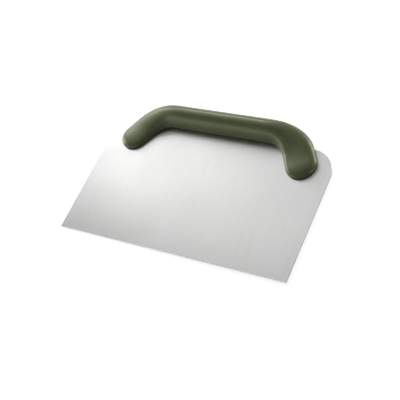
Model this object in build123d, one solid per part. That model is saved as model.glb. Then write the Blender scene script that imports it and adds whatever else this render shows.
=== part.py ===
from build123d import *
import os
from math import atan2, cos, hypot, pi, sin, tan

# Bench scraper: a flat stainless blade with a moulded bow handle along its upper edge.
# It lies on its back: +Z is the side that the handle stands on, the cutting edge is towards -Y
# and the grip towards +Y. Millimetres, with the origin under the middle of the whole outline.

# Blade
blade_width = 200.0
blade_height = 107.4
blade_thickness = 1.2
corner_radius = 21.2
edge_break = 0.15

# Handle seen from the front. Its middle line runs foot, leg, bend, grip, bend, leg, foot
foot_from_side = 25.2         # foot centre from the blade's side
foot_below_edge = 15.5        # foot centre below the blade's upper edge
grip_above_edge = 7.2         # middle line of the grip above the blade's upper edge
leg_lean = 13.7               # how far a leg leans inwards, up to the grip's middle line
bend_radius = 28.0
foot_half_width = 12.1
grip_half_width = 9.0
narrowing_length = 33.0       # along the middle line, from the start of the bend

# Handle, height above the blade's front face
foot_rise = 5.2
grip_rise = 14.9
rise_length = 46.0            # along the middle line, from the foot centre
foot_widest_share = 0.17      # share of the rise at which a section is widest
grip_widest_share = 0.12
leg_sections = 4
bend_sections = 8
grip_sections = 5

# Screws, put in from the back, and the threaded inserts in the handle
screw_diameter = 3.0
screw_length = 5.0
screw_tip = 0.3
head_diameter = 5.5
head_land = 0.1
socket_width = 2.0
socket_depth = 0.9
screw_from_foot = 10.0        # along the leg, from the foot centre
insert_diameter = 4.6
insert_length = 3.8
insert_groove_depth = 0.3
insert_groove_width = 1.2
insert_setback = 0.2          # insert below the handle's seat on the blade
thread_clearance = 0.02       # on the radius
shank_clearance = 0.2         # in the blade's hole, on the radius
tip_clearance = 0.4           # blind bore beyond the insert

# Places that follow from the sizes
outline_depth = blade_height + grip_above_edge + grip_half_width
cutting_edge_y = -outline_depth / 2
upper_edge_y = cutting_edge_y + blade_height
grip_y = upper_edge_y + grip_above_edge
foot_y = upper_edge_y - foot_below_edge
foot_centre_x = blade_width / 2 - foot_from_side
leg_reach = grip_y - foot_y
leg_heading = atan2(leg_reach, -leg_lean)
bend_turn = pi - leg_heading
bend_tangent = bend_radius * tan(bend_turn / 2)
leg_straight = hypot(leg_lean, leg_reach) - bend_tangent
bend_length = bend_radius * bend_turn
grip_half_straight = foot_centre_x - leg_lean - bend_tangent
head_height = head_land + (head_diameter - screw_diameter) / 2
on_base = (Align.CENTER, Align.CENTER, Align.MIN)


def middle_line(distance):
    """X, Y and heading on the right half of the middle line, measured from the foot centre."""
    if distance <= leg_straight:
        x = foot_centre_x + distance * cos(leg_heading)
        y = foot_y + distance * sin(leg_heading)
        return x, y, leg_heading
    if distance <= leg_straight + bend_length:
        heading = leg_heading + (distance - leg_straight) / bend_radius
        x = grip_half_straight + bend_radius * sin(heading)
        y = grip_y - bend_radius - bend_radius * cos(heading)
        return x, y, heading
    x = grip_half_straight - (distance - leg_straight - bend_length)
    return x, grip_y, pi


def eased(distance, start, length):
    """Share from 0 to 1 of a change that starts and ends softly along the middle line."""
    share = min(max((distance - start) / length, 0.0), 1.0)
    return share * share * (3 - 2 * share)


def half_section(distance):
    """Half width, height above the widest level, and that level above Z = 0."""
    rise = foot_rise + (grip_rise - foot_rise) * eased(distance, 0.0, rise_length)
    narrowed = eased(distance, leg_straight, narrowing_length)
    half_width = foot_half_width + (grip_half_width - foot_half_width) * narrowed
    widest_share = foot_widest_share + (grip_widest_share - foot_widest_share) * narrowed
    return half_width, rise * (1 - widest_share), blade_thickness + rise * widest_share


def across_plane(x, y, z, heading):
    """Plane across the middle line, its X to the left of the heading and its Y upwards."""
    return Plane(
        origin=(x, y, z),
        x_dir=(-sin(heading), cos(heading), 0),
        z_dir=(cos(heading), sin(heading), 0),
    )


def section(distance):
    """Handle section across the middle line: two half ellipses, the lower one down to Z = 0."""
    x, y, heading = middle_line(distance)
    half_width, above, level = half_section(distance)
    upper = EllipticalCenterArc((0, 0), half_width, above, 0, arc_size=180)
    lower = EllipticalCenterArc((0, 0), half_width, level, 180, arc_size=180)
    return across_plane(x, y, level, heading) * make_face([upper, lower])


def section_distances():
    """Distances of the sections along the right half of the middle line, without its middle."""
    leg = [leg_straight * i / leg_sections for i in range(leg_sections)]
    bend = [leg_straight + bend_length * i / bend_sections for i in range(bend_sections)]
    grip_start = leg_straight + bend_length
    grip = [grip_start + grip_half_straight * i / grip_sections for i in range(grip_sections)]
    return leg + bend + grip


def handle_toe():
    """Rounded end of the right foot: half of a section, turned about the foot centre."""
    half_width, above, level = half_section(0)
    profile = make_face([
        Line((0, -level), (0, above)),
        EllipticalCenterArc((0, 0), half_width, above, 0, arc_size=90),
        EllipticalCenterArc((0, 0), half_width, level, 270, arc_size=90),
    ])
    turned = revolve(across_plane(0, 0, level, leg_heading) * profile, Axis.Z, 180)
    return Pos(foot_centre_x, foot_y, 0) * turned


def blade_blank():
    """The plate without holes or broken edges."""
    outline = Pos(0, (cutting_edge_y + upper_edge_y) / 2) * Rectangle(blade_width, blade_height)
    upper_corners = outline.vertices().group_by(Axis.Y)[-1]
    return extrude(fillet(upper_corners, corner_radius), blade_thickness)


def at_both_screws(shape):
    """A shape made on the Z axis, set on both legs where the screws are."""
    x, y, _ = middle_line(screw_from_foot)
    return [Pos(x, y, 0) * shape, Pos(-x, y, 0) * shape]


def screw():
    """Countersunk screw with a hexagon socket, its head flush with Z = 0."""
    radius = screw_diameter / 2
    head_radius = head_diameter / 2
    profile = make_face(Polyline(
        (0, 0),
        (head_radius, 0),
        (head_radius, head_land),
        (radius, head_height),
        (radius, screw_length - screw_tip),
        (radius - screw_tip, screw_length),
        (0, screw_length),
        close=True,
    ))
    turned = revolve(Plane.XZ * profile, Axis.Z, 360)
    socket = extrude(RegularPolygon(socket_width / 2, 6, major_radius=False), socket_depth)
    return turned - socket


def screw_hole():
    """Countersink and clearance hole through the blade, on the screw's own cone."""
    radius = screw_diameter / 2 + shank_clearance
    cone_depth = head_height - shank_clearance
    cone = Cone(radius + cone_depth, radius, cone_depth, align=on_base)
    shank = Cylinder(radius, blade_thickness, align=on_base)
    return cone + shank


def insert_blank():
    """Outside of a threaded insert, with the groove that keeps it in the handle."""
    base = blade_thickness + insert_setback
    radius = insert_diameter / 2
    groove_low = base + (insert_length - insert_groove_width) / 2
    groove_high = groove_low + insert_groove_width
    profile = make_face(Polyline(
        (0, base),
        (radius, base),
        (radius, groove_low),
        (radius - insert_groove_depth, groove_low),
        (radius - insert_groove_depth, groove_high),
        (radius, groove_high),
        (radius, base + insert_length),
        (0, base + insert_length),
        close=True,
    ))
    return revolve(Plane.XZ * profile, Axis.Z, 360)


def thread_bore():
    """Bore through an insert and on into the handle, blind beyond the insert."""
    radius = screw_diameter / 2 + thread_clearance
    depth = insert_setback + insert_length + tip_clearance
    return Pos(0, 0, blade_thickness) * Cylinder(radius, depth, align=on_base)


def insert_mouth():
    """Shallow pocket in the handle's seat in front of an insert."""
    return Pos(0, 0, blade_thickness) * Cylinder(insert_diameter / 2, insert_setback, align=on_base)


def blade():
    """Plate with its edges broken and two countersunk holes from the back."""
    blank = blade_blank()
    faces = blank.faces().sort_by(Axis.Z)
    plate = chamfer(faces[0].edges() + faces[-1].edges(), edge_break)
    return plate - at_both_screws(screw_hole())


def handle():
    """Bow handle, seated on the blade's front face and against its upper edge."""
    right = [section(distance) for distance in section_distances()]
    middle = section(leg_straight + bend_length + grip_half_straight)
    left = [mirror(face, Plane.YZ) for face in reversed(right)]
    bow = loft(right + [middle] + left)
    toe = handle_toe()
    body = bow + toe + mirror(toe, Plane.YZ)
    body -= blade_blank()
    body -= at_both_screws(insert_mouth())
    body -= at_both_screws(insert_blank())
    return body - at_both_screws(thread_bore())


def save(name, shape):
    """Write one node."""
    shape.label = name
    export_step(shape, f"parts/{name}.step")


os.makedirs("parts", exist_ok=True)
save("blade", blade())
save("handle", handle())
save("handle_inserts", Compound(at_both_screws(insert_blank() - thread_bore())))
save("handle_screws", Compound(at_both_screws(screw())))
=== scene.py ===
"""Looks of the bench scraper: brushed stainless blade, satin olive moulded handle."""

from math import cos, radians, sin

import bpy
from mathutils import Matrix, Vector


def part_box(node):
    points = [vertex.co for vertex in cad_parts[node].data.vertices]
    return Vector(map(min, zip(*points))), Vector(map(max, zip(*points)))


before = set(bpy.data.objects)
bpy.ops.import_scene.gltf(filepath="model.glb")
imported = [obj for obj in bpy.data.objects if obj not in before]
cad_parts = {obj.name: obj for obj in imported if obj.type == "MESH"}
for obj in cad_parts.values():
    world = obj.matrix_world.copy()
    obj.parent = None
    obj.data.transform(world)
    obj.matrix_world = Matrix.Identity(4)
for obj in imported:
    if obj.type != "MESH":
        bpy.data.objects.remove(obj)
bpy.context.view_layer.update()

# Places read from the frame, in metres
BLADE_LOW, BLADE_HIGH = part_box("blade")
FACE_Z = BLADE_HIGH.z
CUTTING_Y = BLADE_LOW.y

# Camera
AIM = Vector((0.0082, CUTTING_Y + 0.0476, FACE_Z))
CAMERA_AZIMUTH = 53.31
CAMERA_ELEVATION = 50.64
CAMERA_ROLL = -34.19
CAMERA_DISTANCE = 0.6473
CAMERA_LENS = 77.63


def direction(azimuth, elevation):
    """Unit vector from the object towards a viewer; azimuth 0 stands on the -Y side."""
    a, e = radians(azimuth), radians(elevation)
    return Vector((sin(a) * cos(e), -cos(a) * cos(e), sin(e)))


def make_camera():
    """Camera at the reference angle, turned about its own axis by the roll."""
    back = direction(CAMERA_AZIMUTH, CAMERA_ELEVATION)
    level_right = Vector((cos(radians(CAMERA_AZIMUTH)), sin(radians(CAMERA_AZIMUTH)), 0))
    level_up = back.cross(level_right)
    roll = radians(CAMERA_ROLL)
    right = level_right * cos(roll) + level_up * sin(roll)
    up = back.cross(right)
    data = bpy.data.cameras.new("camera")
    data.sensor_width = 36
    data.lens = CAMERA_LENS
    camera = bpy.data.objects.new("camera", data)
    turned = Matrix((right, up, back)).transposed().to_4x4()
    camera.matrix_world = Matrix.Translation(AIM + back * CAMERA_DISTANCE) @ turned
    bpy.context.scene.collection.objects.link(camera)
    bpy.context.scene.camera = camera


def soft_box(name, azimuth, elevation, side, power):
    """Soft square light that faces the object."""
    data = bpy.data.lights.new(name, "AREA")
    data.shape = "RECTANGLE"
    data.size = data.size_y = side
    data.energy = power
    light = bpy.data.objects.new(name, data)
    away = direction(azimuth, elevation)
    light.location = away * SOFT_BOX_DISTANCE
    light.rotation_euler = away.to_track_quat("Z", "Y").to_euler()
    bpy.context.scene.collection.objects.link(light)


SOFT_BOXES = {              # azimuth, elevation, side, power
    "left_low": (270, 12, 0.4, 4.5),
    "left_front_low": (300, 12, 0.4, 1.7),
    "front_left_low": (330, 12, 0.4, 1.1),
    "left_high": (252, 37, 0.6, 0.35),
    "back_left": (240, 30, 0.4, 1.7),
    "back_left_low": (240, 12, 0.4, 1.6),
    "ridge": (214, 30, 0.3, 2.4),
    "back_high": (225, 58, 0.9, 1.7),
    "back": (195, 32, 0.5, 1.0),
    "back_right_low": (150, 12, 0.4, 5.0),
    "right": (90, 32, 0.4, 1.0),
    "front_high": (5, 38, 1.0, 1.0),
}
SOFT_BOX_DISTANCE = 1.2
ROOM_BRIGHTNESS = 0.1
FLOOR_SIZE = 6.0
FLOOR_Z = -0.0002           # just below the blade's back, so that the two don't flicker
FLOOR_GLOW = 0.62           # keeps the floor as pale as a paper sweep


def make_light():
    """Soft boxes all round, strongest from the left and the back, in a dim room."""
    world = bpy.data.worlds.new("studio")
    world.use_nodes = True
    world.node_tree.nodes["Background"].inputs["Strength"].default_value = ROOM_BRIGHTNESS
    bpy.context.scene.world = world
    for name, (azimuth, elevation, side, power) in SOFT_BOXES.items():
        soft_box(name, azimuth, elevation, side, power)


class Nodes:
    """Short way to build one node material."""

    def __init__(self, name):
        self.material = bpy.data.materials.new(name)
        self.material.use_nodes = True
        self.tree = self.material.node_tree
        self.shader = self.tree.nodes["Principled BSDF"]

    def add(self, kind, **inputs):
        node = self.tree.nodes.new(kind)
        for key, value in inputs.items():
            self.put(node, key, value)
        return node

    def put(self, node, key, value):
        name = key.replace("_", " ")
        socket = node.inputs[name] if name in node.inputs else node.inputs[int(key[1:])]
        if isinstance(value, bpy.types.NodeSocket):
            self.tree.links.new(value, socket)
        else:
            socket.default_value = value

    def object_noise(self, stretch, detail):
        """Noise over the object's own coordinates; the stretch is cells per metre on each axis."""
        where = self.add("ShaderNodeTexCoord").outputs["Object"]
        mapping = self.add("ShaderNodeMapping", Vector=where, Scale=stretch)
        noise = self.add("ShaderNodeTexNoise", Vector=mapping.outputs[0])
        noise.inputs["Scale"].default_value = 1.0
        noise.inputs["Detail"].default_value = detail
        return noise.outputs["Fac"]

    def spread(self, value, low, high):
        """Maps 0.3..0.7, where noise mostly lies, to low..high."""
        node = self.add("ShaderNodeMapRange", Value=value)
        node.inputs["From Min"].default_value = 0.3
        node.inputs["From Max"].default_value = 0.7
        node.inputs["To Min"].default_value = low
        node.inputs["To Max"].default_value = high
        return node.outputs[0]

    def colour_between(self, value, low, high):
        """Base colour that follows noise from one colour to another."""
        tone = self.add("ShaderNodeMix")
        tone.data_type = "RGBA"
        self.tree.links.new(self.spread(value, 0, 1), tone.inputs[0])
        tone.inputs[6].default_value = (*low, 1)
        tone.inputs[7].default_value = (*high, 1)
        self.put(self.shader, "Base_Color", tone.outputs[2])

    def bumped(self, height, strength, distance):
        """Surface relief that follows noise; the distance is in metres."""
        bump = self.add("ShaderNodeBump", Height=height)
        bump.inputs["Strength"].default_value = strength
        bump.inputs["Distance"].default_value = distance
        self.put(self.shader, "Normal", bump.outputs[0])


def steel_material():
    """Stainless plate brushed from cutting edge to grip."""
    n = Nodes("brushed_stainless")
    n.shader.inputs["Metallic"].default_value = 1.0
    n.shader.inputs["Anisotropic"].default_value = 0.9
    fine = n.object_noise((3500, 60, 3500), detail=3)
    broad = n.object_noise((1000, 35, 1000), detail=2)
    cloud = n.object_noise((25, 25, 25), detail=2)
    total = n.add("ShaderNodeMath", _0=fine, _1=broad)
    total.operation = "ADD"
    streaks = n.add("ShaderNodeMath", _0=total.outputs[0], _1=0.5)
    streaks.operation = "MULTIPLY"
    n.colour_between(streaks.outputs[0], (0.675, 0.675, 0.67), (0.745, 0.745, 0.74))
    grooved = n.spread(streaks.outputs[0], 0.33, 0.39)
    rough = n.add("ShaderNodeMath", _0=grooved, _1=n.spread(cloud, -0.02, 0.02))
    rough.operation = "ADD"
    n.put(n.shader, "Roughness", rough.outputs[0])
    n.bumped(fine, 0.15, 0.0002)
    tangent = n.add("ShaderNodeCombineXYZ", X=1.0)
    n.put(n.shader, "Tangent", tangent.outputs[0])
    return n.material


def plastic_material():
    """Olive moulded plastic with a satin skin and a sheen of its own hue."""
    n = Nodes("olive_plastic")
    cloud = n.object_noise((60, 60, 60), detail=3)
    grain = n.object_noise((2500, 2500, 2500), detail=2)
    n.colour_between(cloud, (0.124, 0.139, 0.074), (0.137, 0.153, 0.083))
    n.shader.inputs["Specular Tint"].default_value = (0.84, 1.0, 0.62, 1)
    n.shader.inputs["Specular IOR Level"].default_value = 0.7
    n.put(n.shader, "Roughness", n.spread(grain, 0.32, 0.38))
    n.bumped(grain, 0.18, 0.0001)
    return n.material


def turned_metal(name, low, high):
    """Plain turned metal of a small part."""
    n = Nodes(name)
    n.shader.inputs["Metallic"].default_value = 1.0
    grain = n.object_noise((3000, 3000, 3000), detail=2)
    n.colour_between(grain, low, high)
    n.put(n.shader, "Roughness", n.spread(grain, 0.25, 0.4))
    return n.material


def make_floor():
    """Plain pale floor under the object."""
    bpy.ops.mesh.primitive_plane_add(size=FLOOR_SIZE, location=(0, 0, FLOOR_Z))
    floor = bpy.context.object
    floor.name = "floor"
    n = Nodes("pale_floor")
    n.shader.inputs["Base Color"].default_value = (0.92, 0.92, 0.92, 1)
    n.shader.inputs["Roughness"].default_value = 0.9
    n.shader.inputs["Emission Color"].default_value = (1, 1, 1, 1)
    n.shader.inputs["Emission Strength"].default_value = FLOOR_GLOW
    floor.data.materials.append(n.material)


def dress(node, material):
    """Gives a CAD node its material."""
    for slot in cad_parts[node].material_slots:
        slot.material = material


bpy.context.scene.view_settings.view_transform = "Standard"
make_camera()
make_light()
make_floor()
dress("blade", steel_material())
dress("handle", plastic_material())
dress("handle_screws", turned_metal("screw_steel", (0.50, 0.50, 0.49), (0.60, 0.60, 0.59)))
dress("handle_inserts", turned_metal("insert_brass", (0.62, 0.43, 0.17), (0.72, 0.52, 0.24)))
